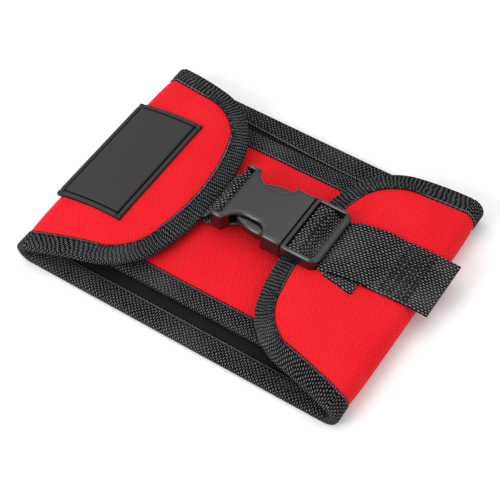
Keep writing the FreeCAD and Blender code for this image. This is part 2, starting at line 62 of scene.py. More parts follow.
def cad_mm(node):
    """The low and high corners of a node's box."""
    low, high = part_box(node)
    return low / MM, high / MM


# ---- the cuff's sizes, read from the frame
HINGE = {j["name"]: Vector(j["pos_m"]) / MM for j in frame["joints"]}
FOLD_X = HINGE["right_flap_open"].x
FOLD_Z = HINGE["right_flap_open"].z
FOLD_RADIUS = cad_mm("right_fold_cloth")[1].x - FOLD_X
HALF_WIDTH = cad_mm("back_binding_far")[1].y
THICKNESS = cad_mm("back_binding_far")[1].z
TAPE = HALF_WIDTH - cad_mm("back_binding_far")[0].y
PAD_LOW, PAD_HIGH = cad_mm("inner_pad_binding_far")
PAD_END, PAD_HALF, PAD_TOP = PAD_HIGH.x, PAD_HIGH.y, PAD_HIGH.z
PAD_TAPE = PAD_HALF - PAD_LOW.y
NOSE_X = cad_mm("right_flap_binding")[0].x
STRAP_END = cad_mm("strap_sewn")[1].x
BUCKLE_Y = HINGE["buckle_male_level"].y
WEBBING = 1.1

# each cloth runs on this far under its tape, and the tape's seam lies this far out from its inner edge
UNDER_TAPE = 1.2
SEAM_INSET = 1.1

# a flap's side view is one arc, and its plan is a nose arc, two corner arcs and two straight edges
SLOPE = math.radians(14)
ARC = 94.0
ARC_X = FOLD_X + FOLD_RADIUS * math.sin(SLOPE) - ARC * math.sin(SLOPE)
ARC_Z = FOLD_Z + (FOLD_RADIUS - ARC) * math.cos(SLOPE)
NOSE_RADIUS = 100.0
CORNER_RADIUS = 28.0
CORNER_FROM = math.radians(15.88)
CORNER_TO = math.radians(78)
FLAP_START = ARC_X + ARC * math.sin(SLOPE)

# how far the left flap lies askew at its far and near edges, and the widths over which that grows
SKEW_FAR, SKEW_NEAR = 2.2, 1.0
SKEW_WIDTH = 45
SKEW_NEAR_FROM, SKEW_NEAR_RUN = 35, 25


def smooth(value):
    """0 below 0 and 1 above 1, with an even curve between them."""
    value = min(max(value, 0.0), 1.0)
    return value * value * (3 - 2 * value)


def askew(side, x, y, share=1.0):
    """The left flap lies a little towards the near side, most of all at its far edge."""
    if side == RIGHT:
        return y
    far = SKEW_FAR * smooth(y / SKEW_WIDTH)
    near = SKEW_NEAR * smooth(-y / SKEW_WIDTH) * smooth((x - SKEW_NEAR_FROM) / SKEW_NEAR_RUN)
    return y - (far + near) * share


def on_plain_flap(side, x, y, lift):
    """A point over the flap's outer face: x is measured on that face, and lift stands off it."""
    angle = math.asin((x - ARC_X) / ARC)
    radius = ARC + lift
    return (ARC_X + radius * math.sin(angle)) * side, y, ARC_Z + radius * math.cos(angle)


def on_flap(side, x, y, lift):
    """The same, on a flap that lies askew."""
    return on_plain_flap(side, x, askew(side, x, y), lift)


def on_fold(side, angle, y, lift):
    """A point over the roll: angle is 0 on top and pi underneath."""
    radius = FOLD_RADIUS + lift
    y = askew(side, FOLD_X, y, 1 - smooth((angle - SLOPE) / (math.pi - SLOPE)))
    return (FOLD_X + radius * math.sin(angle)) * side, y, FOLD_Z + radius * math.cos(angle)


def on_back(x, y, lift):
    """A point over the back's outer face, which looks down."""
    return x, y, -lift


# ---- mesh building


def add_object(name, points, faces, weave):
    """A mesh object in metres, with a place on the cloth in millimetres for each point."""
    mesh = bpy.data.meshes.new(name)
    mesh.from_pydata([tuple(c * MM for c in p) for p in points], [], faces)
    layer = mesh.attributes.new("weave", "FLOAT_VECTOR", "POINT")
    layer.data.foreach_set("vector", np.array(weave, float).ravel())
    for polygon in mesh.polygons:
        polygon.use_smooth = True
    mesh.validate()
    obj = bpy.data.objects.new(name, mesh)
    bpy.context.scene.collection.objects.link(obj)
    return obj


def sweep(name, stations, weave):
    """A closed skin through rings of points, capped at both ends. The caps' edges are sharp."""
    count, ring = len(stations), len(stations[0])
    points = [p for station in stations for p in station]
    places = [(*place, 0.0)[:3] for station in weave for place in station]
    faces = []
    for i in range(count - 1):
        low, high = i * ring, (i + 1) * ring
        for j in range(ring):
            k = (j + 1) % ring
            faces.append((low + j, low + k, high + k, high + j))
    last = (count - 1) * ring
    faces.append(tuple(range(ring - 1, -1, -1)))
    faces.append(tuple(last + j for j in range(ring)))
    obj = add_object(name, points, faces, places)
    face_outwards(obj)
    sharp = obj.data.attributes.new("sharp_edge", "BOOLEAN", "EDGE")
    for edge, mark in zip(obj.data.edges, sharp.data):
        low, high = min(edge.vertices), max(edge.vertices)
        mark.value = high < ring or low >= last
    return obj


def face_outwards(obj):
    """Turns a closed skin's faces outwards."""
    volume = 0.0
    vertices = obj.data.vertices
    for polygon in obj.data.polygons:
        corners = [vertices[i].co for i in polygon.vertices]
        for a, b in zip(corners[1:], corners[2:]):
            volume += corners[0].dot(a.cross(b))
    if volume < 0:
        obj.data.flip_normals()


def join(name, objects):
    """Joins mesh objects into the first, under a new name."""
    with bpy.context.temp_override(
        active_object=objects[0], selected_editable_objects=objects, object=objects[0]
    ):
        bpy.ops.object.join()
    objects[0].name = name
    objects[0].data.name = name
    return objects[0]


def spread(low, high, step):
    """Evenly spaced numbers from low to high, about step apart."""
    return np.linspace(low, high, max(2, int(round(abs(high - low) / step)) + 1))


# ---- materials


def new_material(name):
    """A material with its node tree and its main shader."""
    material = bpy.data.materials.new(name)
    material.use_nodes = True
    tree = material.node_tree
    shader = next(n for n in tree.nodes if n.type == "BSDF_PRINCIPLED")
    return material, tree, shader


def add_node(tree, kind, inputs=None, **settings):
    """A node with its settings, and with each input linked to a socket or set to a value."""
    made = tree.nodes.new(kind)
    for key, value in settings.items():
        setattr(made, key, value)
    for key, value in (inputs or {}).items():
        if isinstance(value, bpy.types.NodeSocket):
            tree.links.new(value, made.inputs[key])
        else:
            made.inputs[key].default_value = value
    return made


def calc(tree, operation, *values):
    """A Math node's result."""
    return add_node(tree, "ShaderNodeMath", dict(enumerate(values)), operation=operation).outputs[0]


def blend_colours(tree, factor, first, second):
    """A Mix node's colour, where each side is a colour or another node's result."""
    made = add_node(tree, "ShaderNodeMix", data_type="RGBA")
    tree.links.new(factor, made.inputs[0])
    for index, colour in ((6, first), (7, second)):
        if isinstance(colour, bpy.types.NodeSocket):
            tree.links.new(colour, made.inputs[index])
        else:
            made.inputs[index].default_value = (*colour, 1)
    return made.outputs[2]


# the powers of a weave's gaps along and across its cells, where the cloth paints shade
GAPS = (1.2, 2.6)


def cloth_place(tree):
    """The place along the cloth, the place across it and the whole attribute, in millimetres."""
    attribute = add_node(tree, "ShaderNodeAttribute", attribute_name="weave")
    split = add_node(tree, "ShaderNodeSeparateXYZ", {0: attribute.outputs["Vector"]})
    return split.outputs[0], split.outputs[1], attribute.outputs["Vector"]


def staggered(tree, along, across, pitch_along, pitch_across, powers=GAPS):
    """Rounded cells in rows, where each row is half a cell further along than the last.
    Higher powers widen the gaps along and across the cells, where the cloth paints shade."""
    rows = calc(tree, "DIVIDE", across, pitch_across)
    shift = calc(tree, "MULTIPLY", calc(tree, "FLOOR", rows), 0.5)
    cell = calc(tree, "ADD", calc(tree, "DIVIDE", along, pitch_along), shift)
    shaped = []
    for place, power in zip((cell, rows), powers):
        wave = calc(tree, "ABSOLUTE", calc(tree, "SINE", calc(tree, "MULTIPLY", place, math.pi)))
        shaped.append(calc(tree, "POWER", wave, power))
    return calc(tree, "MULTIPLY", *shaped)


def noise_node(tree, place, scale, detail):
    """A Noise node's result."""
    inputs = {"Vector": place, "Scale": scale, "Detail": detail}
    return add_node(tree, "ShaderNodeTexNoise", inputs).outputs[0]


def spread_roughness(tree, shader, source, low, high):
    """Makes the roughness follow a result, from low to high."""
    rough = add_node(tree, "ShaderNodeMapRange", {"Value": source, 3: low, 4: high})
    tree.links.new(rough.outputs[0], shader.inputs["Roughness"])


def cloth(
    name, low, high, cell, depth, roughness, specular, turned=False, speckle=0.5, edge=None, powers=GAPS
):
    """A woven material whose colour goes from low, painted shade in the gaps between threads, to high, a
    painted highlight on the threads' tops. A cell is one thread's visible length and width, and turned lays
    it across the piece. edge is (width, pitch) of a looped edge with painted highlights on its loops and
    painted shade between
    them: the piece's third place counts from that edge."""
    material, tree, shader = new_material(name)
    u, v, place = cloth_place(tree)
    wander = noise_node(tree, place, 0.3, 2.0)
    drift = calc(tree, "MULTIPLY", calc(tree, "SUBTRACT", wander, 0.5), cell[1] * 1.2)
    u, v = calc(tree, "ADD", u, drift), calc(tree, "SUBTRACT", v, drift)
    height = staggered(tree, v, u, *cell, powers) if turned else staggered(tree, u, v, *cell, powers)
    grain = noise_node(tree, place, 1.3, 4.0)
    broad = noise_node(tree, place, 0.05, 2.0)
    uneven = calc(tree, "MULTIPLY_ADD", calc(tree, "SUBTRACT", grain, 0.5), speckle * 4, 1.0)
    # painted light: a highlight on the threads' tops and shade in the gaps, brighter on some threads than
    # others
    tone = calc(tree, "MULTIPLY", height, uneven)
    tone = calc(tree, "MULTIPLY_ADD", calc(tree, "SUBTRACT", broad, 0.5), 0.3, tone)
    if edge:
        width, pitch = edge
        split = add_node(tree, "ShaderNodeSeparateXYZ", {0: place})
        near = calc(tree, "LESS_THAN", split.outputs[2], width)
        loop = staggered(tree, calc(tree, "ADD", u, split.outputs[2]), split.outputs[2], pitch, width)
        # painted highlights on the edge's loops, and painted shade between them
        tone = calc(tree, "MULTIPLY_ADD", near, calc(tree, "MULTIPLY_ADD", loop, 1.5, -0.35), tone)
        height = calc(tree, "MULTIPLY_ADD", near, loop, height)
    clamped = add_node(tree, "ShaderNodeClamp", {"Value": tone, "Max": 1.6})
    mixed = add_node(tree, "ShaderNodeMix", data_type="RGBA", clamp_factor=False)
    tree.links.new(clamped.outputs[0], mixed.inputs[0])
    mixed.inputs[6].default_value = (*low, 1)
    mixed.inputs[7].default_value = (*high, 1)
    tree.links.new(mixed.outputs[2], shader.inputs["Base Color"])
    spread_roughness(tree, shader, grain, roughness - 0.08, roughness + 0.08)
    fine = calc(tree, "MULTIPLY_ADD", grain, 0.3, height)
    bump = add_node(tree, "ShaderNodeBump", {"Strength": 0.8, "Distance": depth * MM, "Height": fine})
    tree.links.new(bump.outputs[0], shader.inputs["Normal"])
    shader.inputs["Specular IOR Level"].default_value = specular
    return material


# the colour of the shade painted in a groove or a gap, and how much of the shine is left there
SHADE_COLOUR = (0.001, 0.001, 0.001)
SHADE_SPECULAR = 0.02


def moulded(
    name, low, high, roughness, scale, depth, specular, rim_shade=False, gap_shade=None, edge_radius=0.0
):
    """Moulded plastic or rubber: a fine grain, and slow changes of tone.
    It can paint shade by its third place, as in a groove, or along a line across it at (x, half width), as
    in a gap between two parts; edge_radius rounds the shading of its edges."""
    material, tree, shader = new_material(name)
    place = add_node(tree, "ShaderNodeTexCoord").outputs["Object"]
    slow = noise_node(tree, place, 90.0, 3.0)
    grain = noise_node(tree, place, scale, 4.0)
    colour = blend_colours(tree, slow, low, high)
    # paint shade in a groove or a gap, and take most of the shine out there
    if rim_shade or gap_shade:
        if rim_shade:
            shade_mask = add_node(tree, "ShaderNodeSeparateXYZ", {0: cloth_place(tree)[2]}).outputs[2]
        else:
            x = add_node(tree, "ShaderNodeSeparateXYZ", {0: place}).outputs[0]
            shade_mask = calc(tree, "COMPARE", x, gap_shade[0] * MM, gap_shade[1] * MM)
        colour = blend_colours(tree, shade_mask, colour, SHADE_COLOUR)
        level = calc(tree, "MULTIPLY_ADD", shade_mask, SHADE_SPECULAR - specular, specular)
        tree.links.new(level, shader.inputs["Specular IOR Level"])
    tree.links.new(colour, shader.inputs["Base Color"])
    spread_roughness(tree, shader, slow, roughness - 0.06, roughness + 0.08)
    bump = add_node(tree, "ShaderNodeBump", {"Strength": 0.5, "Distance": depth * MM, "Height": grain})
    if edge_radius:
        rounded = add_node(tree, "ShaderNodeBevel", {"Radius": edge_radius * MM}, samples=12)
        tree.links.new(rounded.outputs[0], bump.inputs["Normal"])
    tree.links.new(bump.outputs[0], shader.inputs["Normal"])
    return material


# each cloth's low colour is painted shade in the gaps between threads, and its high colour a painted
# highlight on the threads' tops
RED = cloth(
    "red_oxford",
    low=(0.58, 0.001, 0.004),
    high=(1.0, 0.035, 0.055),
    cell=(0.95, 0.62),
    depth=0.12,
    roughness=0.65,
    specular=0.08,
    speckle=0.3,
)
RIBBED = cloth(
    "grosgrain",
    low=(0.0, 0.0, 0.0),
    high=(0.19, 0.194, 0.202),
    cell=(1.6, 0.78),
    depth=0.25,
    roughness=0.7,
    specular=0.03,
    turned=True,
    speckle=0.6,
    edge=(1.1, 0.9),
    powers=(2.0, 3.8),
)
LINING = cloth(
    "lining",
    low=(0.005, 0.005, 0.005),
    high=(0.021, 0.021, 0.022),
    cell=(0.6, 0.5),
    depth=0.04,
    roughness=0.7,
    specular=0.05,
)
WEBBED = cloth(
    "webbing",
    low=(0.0, 0.0, 0.0),
    high=(0.27, 0.271, 0.275),
    cell=(1.5, 0.95),
    depth=0.3,
    roughness=0.6,
    specular=0.03,
    speckle=0.3,
    powers=(2.0, 4.2),
)
THREAD = cloth(
    "thread",
    low=(0.004, 0.004, 0.004),
    high=(0.07, 0.07, 0.074),
    cell=(0.4, 0.4),
    depth=0.05,
    roughness=0.6,
    specular=0.05,
)
PLASTIC = moulded(
    "buckle_plastic",
    low=(0.004, 0.004, 0.0045),
    high=(0.009, 0.0095, 0.0095),
    roughness=0.22,
    scale=2500.0,
    depth=0.02,
    specular=0.72,
    # a line of shade painted across the buckle where its two halves meet
    gap_shade=(16.65, 0.3),
    edge_radius=1.7,
)
RUBBER = moulded(
    "label_rubber",
    low=(0.009, 0.009, 0.010),
    high=(0.013, 0.013, 0.014),
    roughness=0.62,
    scale=1800.0,
    depth=0.03,
    specular=0.5,
    # shade painted in the label's groove and along its outer edge, by its third place
    rim_shade=True,
)


def dress(obj, material):
    """Gives a piece its only material."""
    obj.data.materials.clear()
    obj.data.materials.append(material)
    return obj


# ---- the flap's plan


NOSE_CENTRE = NOSE_X + NOSE_RADIUS
CORNER_X = NOSE_CENTRE - (NOSE_RADIUS - CORNER_RADIUS) * math.cos(CORNER_FROM)
CORNER_Y = (NOSE_RADIUS - CORNER_RADIUS) * math.sin(CORNER_FROM)
# how much wider the flap gets for each millimetre along its straight edges
EDGE_RISE = math.cos(CORNER_TO) / math.sin(CORNER_TO)


def flap_edge(inset, step=1.0):
    """Points (x, y) along a flap's edge from its near fold corner round the nose to the far one."""
    small, large = CORNER_RADIUS - inset, NOSE_RADIUS - inset
    half = []
    for angle in spread(0, CORNER_FROM, step / NOSE_RADIUS):
        half.append((NOSE_CENTRE - large * math.cos(angle), large * math.sin(angle)))
    for angle in spread(CORNER_FROM, CORNER_TO, step / CORNER_RADIUS)[1:]:
        half.append((CORNER_X - small * math.cos(angle), CORNER_Y + small * math.sin(angle)))
    last = half[-1]
    for x in spread(last[0], FLAP_START, step)[1:]:
        half.append((x, last[1] + (x - last[0]) * EDGE_RISE))
    return [(x, -y) for x, y in reversed(half[1:])] + half


def flap_half_width(x, inset):
    """Half the flap's width at x, inside an edge drawn in by the inset."""
    small, large = CORNER_RADIUS - inset, NOSE_RADIUS - inset
    nose_end = CORNER_X - small * math.cos(CORNER_FROM)
    edge_start = CORNER_X - small * math.cos(CORNER_TO)
    if x <= nose_end:
        return math.sqrt(max(large**2 - (NOSE_CENTRE - x) ** 2, 0))
    if x <= edge_start:
        return CORNER_Y + math.sqrt(small**2 - (CORNER_X - x) ** 2)
    return CORNER_Y + small * math.sin(CORNER_TO) + (x - edge_start) * EDGE_RISE


# ---- padded panels

# how far a cloth lies below a tape's face, how far it is crowned, and the most the simulation may add
SKIN_UNDER_TAPE = 0.45
PUFF = 0.45
BLOWN = 0.55
BLOWN_FADE = 14
MIDDLE = -THICKNESS / 2
# the points across a panel, and how many of them next to each edge the simulation holds
ROWS = 56
HELD_ROWS = 3
# the runs over which the crowns rise from their edges
FLAP_RUN, PAD_RUN, BACK_RUN = 4.5, 6.0, 4.0
NOSE_STEEPNESS = 1.4
# the unevenness of each cloth
FLAP_UNEVEN, PAD_UNEVEN, BACK_UNEVEN = 0.22, 0.25, 0.1
UNEVEN_FADE = 12
RIPPLE_SCALE = 0.045
LINING_CROWN = 0.25
LINING_SINK = 0.35
FOLD_LINING_LIFT = 0.1
PAD_CROWN = 0.2
PAD_BELOW_LINING = 0.1
# the simulation
PRESSURE = 2.5
FRAMES = 12
GROW = 10.0


def inflate(obj, free, caps):
    """Blows the free points of a closed skin up as cloth, holding the rest, and moves none over its cap.
    It is simulated ten times as large, because cloth settles better at that size."""
    scene = bpy.context.scene
    mesh = obj.data
    rest = np.zeros(len(mesh.vertices) * 3)
    mesh.vertices.foreach_get("co", rest)
    mesh.vertices.foreach_set("co", rest * GROW)
    held = sorted(set(range(len(mesh.vertices))) - set(free))
    obj.vertex_groups.new(name="held").add(held, 1.0, "REPLACE")
    modifier = obj.modifiers.new("blow", "CLOTH")
    settings = modifier.settings
    settings.quality = 8
    settings.mass = 0.3
    settings.tension_stiffness = settings.compression_stiffness = 15
    settings.shear_stiffness = 5
    settings.bending_stiffness = 0.5
    settings.use_pressure = True
    settings.uniform_pressure_force = PRESSURE
    settings.effector_weights.gravity = 0
    settings.vertex_group_mass = "held"
    modifier.collision_settings.use_collision = False
    modifier.collision_settings.use_self_collision = False
    modifier.point_cache.frame_start = 1
    modifier.point_cache.frame_end = FRAMES
    for number in range(1, FRAMES + 1):
        scene.frame_set(number)
    blown = obj.evaluated_get(bpy.context.evaluated_depsgraph_get())
    after = np.zeros(len(rest))
    blown.data.vertices.foreach_get("co", after)
    obj.modifiers.clear()
    obj.vertex_groups.clear()
    scene.frame_set(1)
    move = (after / GROW - rest).reshape(-1, 3)
    length = np.linalg.norm(move, axis=1)
    limit = np.full(len(length), 1e-9)
    limit[free] = np.maximum(caps, 1e-6) * MM
    share = limit * np.tanh(length / limit) / np.maximum(length, 1e-12)
    share[held] = 0
    mesh.vertices.foreach_set("co", rest + (move * share[:, None]).ravel())
    mesh.update()
    most, middle = length.max() / MM, np.median(length[free]) / MM
    print(f"{obj.name}: cloth moved {most:.2f} mm, {middle:.2f} mm in the middle")


def ease(distance, run):
    """0 at the edge, rising smoothly to 1 within the run."""
    return 1 - math.exp(-max(distance, 0) / run)


def ripple(x, y, seed):
    """A slow unevenness of the cloth, from -1 to 1."""
    return noise.noise(Vector((x * RIPPLE_SCALE, y * RIPPLE_SCALE, seed)))


def panel(name, xs, half_at, lift_at, place_at, inside_lift=MIDDLE, along=None, blown=False):
    """A padded panel as rings across Y at each x: one face on the cloth's side, the other inside it.
    A blown panel's face is simulated, with the points near its edges held."""
    stations, weave = [], []
    for index, x in enumerate(xs):
        half = half_at(x)
        ys = np.linspace(-half, half, ROWS)
        u = x if along is None else along[index]
        face = [place_at(x, y, lift_at(x, y)) for y in ys]
        inside = [place_at(x, y, inside_lift) for y in reversed(ys)]
        stations.append(face + inside)
        weave.append([(u, y) for y in ys] + [(u, y) for y in reversed(ys)])
    made = sweep(name, stations, weave)
    if blown:
        columns = range(HELD_ROWS, len(xs) - HELD_ROWS)
        inner = range(HELD_ROWS, ROWS - HELD_ROWS)
        free = [i * ROWS * 2 + j for i in columns for j in inner]
        caps = [BLOWN * smooth((xs[-1] - xs[i]) / BLOWN_FADE) for i in columns for j in inner]
        inflate(made, free, caps)
    return made


def flap_panels(side, name):
    """The flap's red cloth with the foam in it, and its lining."""
    inset = TAPE - UNDER_TAPE
    start = NOSE_X + inset
    near_nose = [start + 0.05 + 4.0 * t * t for t in np.linspace(0, 1, 9)]
    xs = near_nose + list(spread(near_nose[-1] + 1.2, FLAP_START, 1.2))

    def half(x):
        return flap_half_width(x, inset)

    def edge_distance(x, y):
        return min(half(x) - abs(y), (x - start) * NOSE_STEEPNESS)

    def red_lift(x, y):
        swell = ease(edge_distance(x, y), FLAP_RUN)
        uneven = FLAP_UNEVEN * swell * ripple(x, y, side) * smooth((FLAP_START - x) / UNEVEN_FADE)
        return -SKIN_UNDER_TAPE + (SKIN_UNDER_TAPE + PUFF) * swell + uneven

    def lining_lift(x, y):
        swell = ease(edge_distance(x, y), FLAP_RUN)
        return SKIN_UNDER_TAPE - THICKNESS - (SKIN_UNDER_TAPE + LINING_CROWN) * swell

    def place(x, y, lift):
        return on_flap(side, x, y, lift)

    red = panel(f"{name}_flap_cloth", xs, half, red_lift, place, blown=True)
    dress(red, RED)
    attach(red, f"{name}_flap")
    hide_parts(f"{name}_flap_shell", f"{name}_flap_foam", f"{name}_flap_magnets")
    lining = panel(f"{name}_flap_lining_cloth", xs, half, lining_lift, place)
    dress(lining, LINING)
    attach(lining, f"{name}_flap")
    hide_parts(f"{name}_flap_lining")


def fold_panels(side, name):
    """The roll's red cloth and its lining, which bend between the back and the flap."""
    angles = spread(SLOPE, math.pi, 0.12)
    half = HALF_WIDTH - TAPE + UNDER_TAPE

    def swell(y):
        return ease(half - abs(y), FLAP_RUN)

    def place(angle, y, lift):
        return on_fold(side, angle, y, lift)

    def red_lift(angle, y):
        flat = max(0.0, -math.cos(angle)) ** 2
        return -SKIN_UNDER_TAPE + (SKIN_UNDER_TAPE + PUFF * (1 - flat)) * swell(y)

    def lining_lift(angle, y):
        return FOLD_LINING_LIFT - THICKNESS + LINING_SINK * (1 - swell(y))

    along = [FLAP_START + FOLD_RADIUS * (a - SLOPE) for a in angles]
    red = panel(f"{name}_fold_red", angles, lambda a: half, red_lift, place, along=along)
    dress(red, RED)
    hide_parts(f"{name}_fold_cloth")
    lining = panel(f"{name}_fold_lining", angles, lambda a: half, lining_lift, place, along=along)
    dress(lining, LINING)
    for piece in (red, lining):
        bend_round_fold(piece)


def bend_round_fold(piece):
    """Bakes a piece's placement into its mesh."""
    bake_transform(piece)


def back_panels():
    """The back's red cloth underneath and its lining on top."""
    half = HALF_WIDTH - TAPE + UNDER_TAPE
    xs = spread(-FOLD_X, FOLD_X, 2.4)

    def lining_lift(x, y):
        sink = LINING_SINK * (1 - ease(half - abs(y), BACK_RUN))
        return -THICKNESS + sink + BACK_UNEVEN * ripple(x, y, 7)

    red = panel("back_cloth", xs, lambda x: half, lambda x, y: 0.0, on_back)
    dress(red, RED)
    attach(red, "back")
    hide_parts("back_shell", "back_foam", "back_magnets")
    lining = panel("back_lining_cloth", xs, lambda x: half, lining_lift, on_back)
    dress(lining, LINING)
    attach(lining, "back")
    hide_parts("back_lining")


def inner_panel():
    """The red panel sewn on the lining between the flaps."""
    half = PAD_HALF - PAD_TAPE + UNDER_TAPE
    xs = spread(-PAD_END, PAD_END, 1.6)

    def lift(x, y):
        swell = ease(half - abs(y), PAD_RUN)
        crown = (SKIN_UNDER_TAPE + PAD_CROWN + PAD_UNEVEN * ripple(x, y, 3)) * swell
        return SKIN_UNDER_TAPE - PAD_TOP - crown

    inside_lift = -THICKNESS - PAD_BELOW_LINING
    red = panel("inner_pad_cloth", xs, lambda x: half, lift, on_back, inside_lift, blown=True)
    dress(red, RED)
    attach(red, "back")
    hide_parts("inner_pad_shell", "inner_pad_foam", "inner_pad_backing")


# ---- binding tape

TAPE_SKIN = 0.55
TAPE_PROUD = 0.25
TAPE_PINCH = 0.1
# how far the far back tape slants in, and the places along X between which it does
FAR_SLANT = 2.6
FAR_SLANT_FROM, FAR_SLANT_RUN = -48, 65


def tape_section(width, thickness):
    """A folded tape's section: for each point its distance in from the edge, its lift, its place across
    the tape, and how far that place is from the tape's nearer edge."""
    outer, top, bottom = [], TAPE_PROUD, -thickness - TAPE_PROUD * 0.2
    middle, round_half = (top + bottom) / 2, (top - bottom) / 2
    for t in (1.0, 0.75, 0.5, 0.3):
        outer.append((width * t, top - TAPE_PINCH * t**2))
    for step in range(7):
        angle = math.pi / 2 - math.pi * step / 6
        outer.append((round_half * 0.55 * (1 - math.cos(angle)), middle + round_half * math.sin(angle)))
    for t in (0.3, 0.5, 0.75, 1.0):
        outer.append((width * t, bottom))
    inner = []
    for distance, lift in reversed(outer):
        inward = min(TAPE_SKIN, round_half * 0.6)
        pulled = max(-1.0, min(1.0, (lift - middle) / round_half))
        inner.append((max(distance, TAPE_SKIN) if distance < width else width, lift - inward * pulled))
    ring = outer + inner
    across, total = [], 0.0
    for index, point in enumerate(outer):
        if index:
            total += math.dist(point, outer[index - 1])
        across.append(total)
    return [(d, lift, a, min(a, total - a)) for (d, lift), a in zip(ring, across + across[::-1])]


def tape_along(name, edge, place, section):
    """Sweeps a tape's section along an edge. edge gives (p, q, inward p, inward q) for each station."""
    stations, weave = [], []
    along, previous = 0.0, None
    for p, q, inward_p, inward_q in edge:
        if previous is not None:
            along += math.dist((p, q), previous)
        previous = (p, q)
        stations.append([place(p + d * inward_p, q + d * inward_q, lift) for d, lift, _, _ in section])
        weave.append([(along, a, inner) for _, _, a, inner in section])
    obj = sweep(name, stations, weave)
    return dress(obj, RIBBED)


def flap_edge_stations():
    """The flap's edge with the direction inwards at each point."""
    outer, inner = flap_edge(0, 0.8), flap_edge(1.0, 0.8)
    return [(x, y, ix - x, iy - y) for (x, y), (ix, iy) in zip(outer, inner)]


def flap_tape(side, name):
    """The tape round a flap's nose and down both its edges."""
    stations = flap_edge_stations()

    def place(x, y, lift):
        return on_flap(side, min(x, FLAP_START), y, lift)

    tape = tape_along(f"{name}_flap_tape", stations, place, tape_section(TAPE, THICKNESS))
    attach(tape, f"{name}_flap")
    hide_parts(f"{name}_flap_binding")


def fold_tapes(side, name):
    """The tapes round a roll's two ends, which bend with it."""
    section = tape_section(TAPE, THICKNESS)
    angles = spread(SLOPE, math.pi, 0.1)
    for end, far in (("near", -1), ("far", 1)):
        stations = [(a, HALF_WIDTH * far, 0, -far) for a in angles]

        def place(angle, y, lift):
            lower = max(0.0, -math.cos(angle)) ** 2
            return on_fold(side, angle, y, lift - max(lift, 0) * lower)

        tape = tape_along(f"{name}_fold_tape_{end}", stations, place, section)
        rescale_along(tape, FOLD_RADIUS)
        bend_round_fold(tape)
    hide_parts(f"{name}_fold_binding")


def rescale_along(obj, factor):
    """Turns a place along the cloth that was counted in radians into millimetres."""
    for item in obj.data.attributes["weave"].data:
        item.vector.x *= factor


def straight_tapes():
    """The tapes along the back's edges and the inner panel's edges."""
    section = tape_section(TAPE, THICKNESS)
    pad_section = tape_section(PAD_TAPE, PAD_TOP - THICKNESS)

    def on_pad(x, y, lift):
        return x, y, max(PAD_TOP + lift, THICKNESS)

    for end, far in (("near", -1), ("far", 1)):
        stations = [(x, HALF_WIDTH * far, 0, -far) for x in spread(-FOLD_X, FOLD_X, 1.2)]

        def place(x, y, lift):
            slant = FAR_SLANT * smooth((x - FAR_SLANT_FROM) / FAR_SLANT_RUN) if y > 0 else 0.0
            return on_back(x, y - slant * (HALF_WIDTH - y) / TAPE, min(lift, 0.0))

        tape = tape_along(f"back_tape_{end}", stations, place, section)
        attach(tape, "back")
        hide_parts(f"back_binding_{end}")
        stations = [(x, PAD_HALF * far, 0, -far) for x in spread(-PAD_END, PAD_END, 1.2)]
        tape = tape_along(f"inner_pad_tape_{end}", stations, on_pad, pad_section)
        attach(tape, "back")
        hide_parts(f"inner_pad_binding_{end}")


# ---- stitches


# a stitch's rings as (place along it, size), and the points round each ring
STITCH_RINGS = ((0.0, 0.35), (0.15, 0.95), (0.5, 1.1), (0.85, 0.95), (1.0, 0.35))
STITCH_TURNS = 6
STITCH_SINK = 0.7


def straight_up(point):
    return 0, 0, 1


def stitch_row(name, line, up_at, length=2.3, gap=0.9, radius=0.2):
    """A row of thread stitches along a line of points, each one a short rounded bar."""
    points = [np.array(p) for p in line]
    steps = [np.linalg.norm(b - a) for a, b in zip(points, points[1:])]
    distance = np.concatenate([[0], np.cumsum(steps)])

    def at(place):
        return np.array([np.interp(place, distance, [p[c] for p in points]) for c in range(3)])

    verts, faces, weave = [], [], []
    place = gap
    while place + length < distance[-1]:
        first = len(verts)
        for share, size in STITCH_RINGS:
            here = place + length * share
            centre = at(here)
            ahead = at(here + 0.05) - at(here - 0.05)
            ahead /= np.linalg.norm(ahead)
            up = np.array(up_at(centre))
            aside = np.cross(ahead, up)
            sink = -radius * STITCH_SINK if share in (0.0, 1.0) else 0.0
            for turn in range(STITCH_TURNS):
                angle = turn * 2 * math.pi / STITCH_TURNS
                offset = aside * math.cos(angle) + up * math.sin(angle)
                verts.append(tuple(centre + offset * radius * size + up * sink))
                weave.append((here, angle, 0.0))
        for ring in range(len(STITCH_RINGS) - 1):
            low = first + ring * STITCH_TURNS
            high = low + STITCH_TURNS
            for turn in range(STITCH_TURNS):
                after = (turn + 1) % STITCH_TURNS
                faces.append((low + turn, low + after, high + after, high + turn))
        last = first + (len(STITCH_RINGS) - 1) * STITCH_TURNS
        faces.append(tuple(first + turn for turn in range(STITCH_TURNS - 1, -1, -1)))
        faces.append(tuple(last + turn for turn in range(STITCH_TURNS)))
        place += length + gap
    return dress(add_object(name, verts, faces, weave), THREAD)


def flap_normal(side):
    """The direction straight off a flap's outer face, as a function of the point."""

    def normal(point):
        direction = Vector((point[0] - ARC_X * side, 0, point[2] - ARC_Z)).normalized()
        return direction.x, 0.0, direction.z

    return normal


